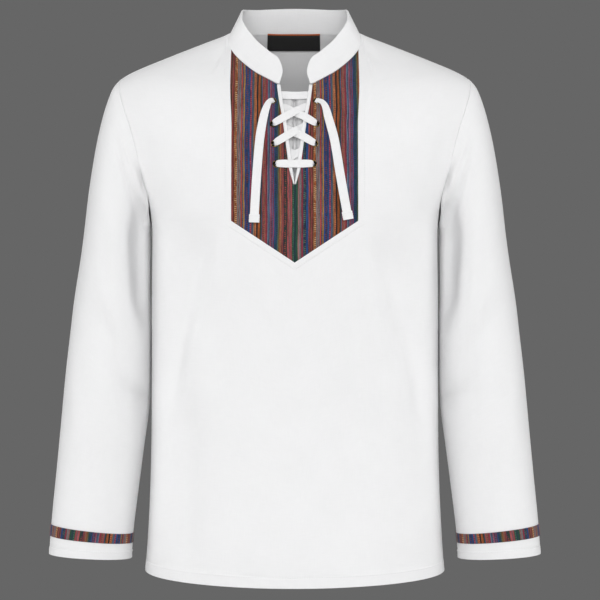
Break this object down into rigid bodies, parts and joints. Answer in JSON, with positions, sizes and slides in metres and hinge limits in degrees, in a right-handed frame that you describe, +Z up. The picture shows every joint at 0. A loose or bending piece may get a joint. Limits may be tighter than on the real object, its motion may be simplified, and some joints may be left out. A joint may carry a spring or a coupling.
{
  "type": "long-sleeve laced pullover shirt, filled out as worn",
  "caption": "White cotton pullover shirt with a stand collar, a striped chest panel laced through brass eyelets and striped cuff bands.",
  "frame": {"origin": "centre of the neck ring at the height of the shoulder seams, halfway between front and back, where the wearer's shoulders and neck hold the shirt", "axes": "+Z up towards the collar, the front faces -Y, +X towards the wearer's left sleeve"},
  "size_m": [0.6678, 0.2477, 0.7842],
  "materials": {
    "white_cotton": "plain woven, matt",
    "striped_cotton": "woven in many coloured stripes, matt",
    "white_tape": "woven flat tape, matt",
    "black_label": "woven satin",
    "antique_brass": "aged, satin"
  },
  "bodies": {
    "root": {"front": "white_cotton", "back": "white_cotton", "sleeve_left": "white_cotton", "sleeve_right": "white_cotton", "collar": "white_cotton", "slit_binding_left": "white_cotton", "slit_binding_right": "white_cotton", "slit_underlay": "white_cotton", "striped_panel": "striped_cotton", "cuff_band_left": "striped_cotton", "cuff_band_right": "striped_cotton", "neck_label": "black_label", "eyelet_left_1": "antique_brass", "eyelet_left_2": "antique_brass", "eyelet_left_3": "antique_brass", "eyelet_left_4": "antique_brass", "eyelet_right_1": "antique_brass", "eyelet_right_2": "antique_brass", "eyelet_right_3": "antique_brass", "eyelet_right_4": "antique_brass", "lace": "white_tape", "lace_tail_left": "white_tape", "lace_tail_right": "white_tape", "lace_end_left": "white_tape", "lace_end_right": "white_tape"}
  },
  "joints": []
}
